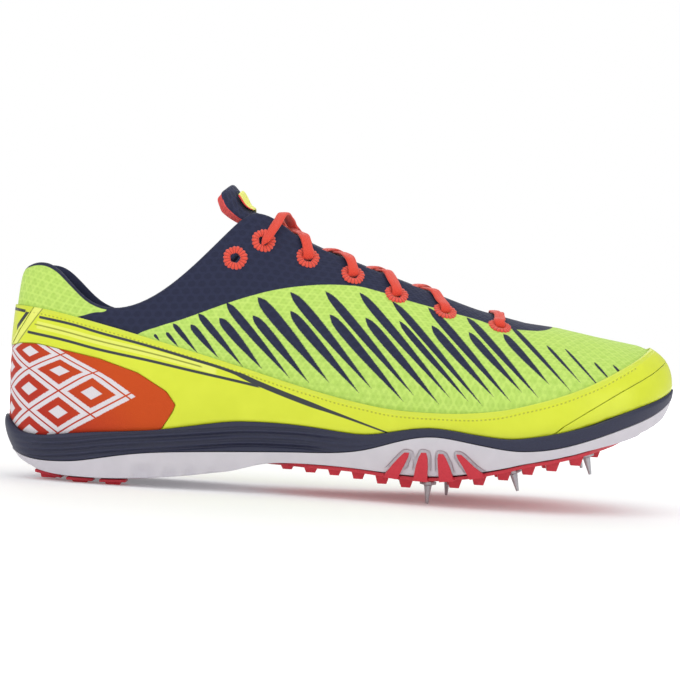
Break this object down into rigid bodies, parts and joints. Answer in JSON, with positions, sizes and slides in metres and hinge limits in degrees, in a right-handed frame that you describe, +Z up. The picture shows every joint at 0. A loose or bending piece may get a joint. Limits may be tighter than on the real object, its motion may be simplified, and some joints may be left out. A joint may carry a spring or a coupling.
{
  "type": "track spike shoe",
  "caption": "Right cross-country spike shoe with a mesh upper, lacing, a foam midsole, a studded forefoot plate and steel pins.",
  "frame": {"origin": "centre of the shoe's bounding box, on the plane that its heel lugs and rear pins stand on", "axes": "+X towards the toe, -Y towards the outer side of the foot, +Z up"},
  "size_m": [0.2834, 0.0962, 0.1289],
  "materials": {
    "upper_mesh": "matte knitted mesh, lime with dark blue printed panels",
    "rand": "semi-gloss film with thin dark printed lines",
    "counter": "satin printed synthetic",
    "carrier_foam": "matte moulded foam",
    "white_foam": "matte moulded foam",
    "insole": "matte",
    "plate": "semi-matte moulded",
    "tongue": "matte mesh with a red lining",
    "label": "satin woven",
    "eyelets": "stitched thread, satin",
    "lace": "matte woven",
    "pins": "bright turned"
  },
  "bodies": {
    "root": {"upper": "upper_mesh", "rand": "rand", "heel_tab": "rand", "toe_cap": "rand", "counter": "counter", "midsole_carrier": "carrier_foam", "midsole_foam": "white_foam", "insole": "insole", "plate": "plate", "tongue": "tongue", "tongue_label": "label", "eyelet_outer_1": "eyelets", "eyelet_inner_1": "eyelets", "eyelet_outer_2": "eyelets", "eyelet_inner_2": "eyelets", "eyelet_outer_3": "eyelets", "eyelet_inner_3": "eyelets", "eyelet_outer_4": "eyelets", "eyelet_inner_4": "eyelets", "eyelet_outer_5": "eyelets", "eyelet_inner_5": "eyelets", "eyelet_outer_6": "eyelets", "eyelet_inner_6": "eyelets", "eyelet_outer_7": "eyelets", "eyelet_inner_7": "eyelets", "lace_bar": "lace", "lace_crossing_2": "lace", "lace_crossing_3": "lace", "lace_crossing_4": "lace", "lace_crossing_5": "lace", "pin_1": "pins", "pin_2": "pins", "pin_3": "pins", "pin_4": "pins", "pin_5": "pins", "pin_6": "pins", "heel_pad_1": "plate", "heel_pad_2": "plate", "heel_pad_3": "plate", "heel_pad_4": "plate", "heel_pad_5": "plate", "heel_pad_6": "plate"}
  },
  "joints": []
}
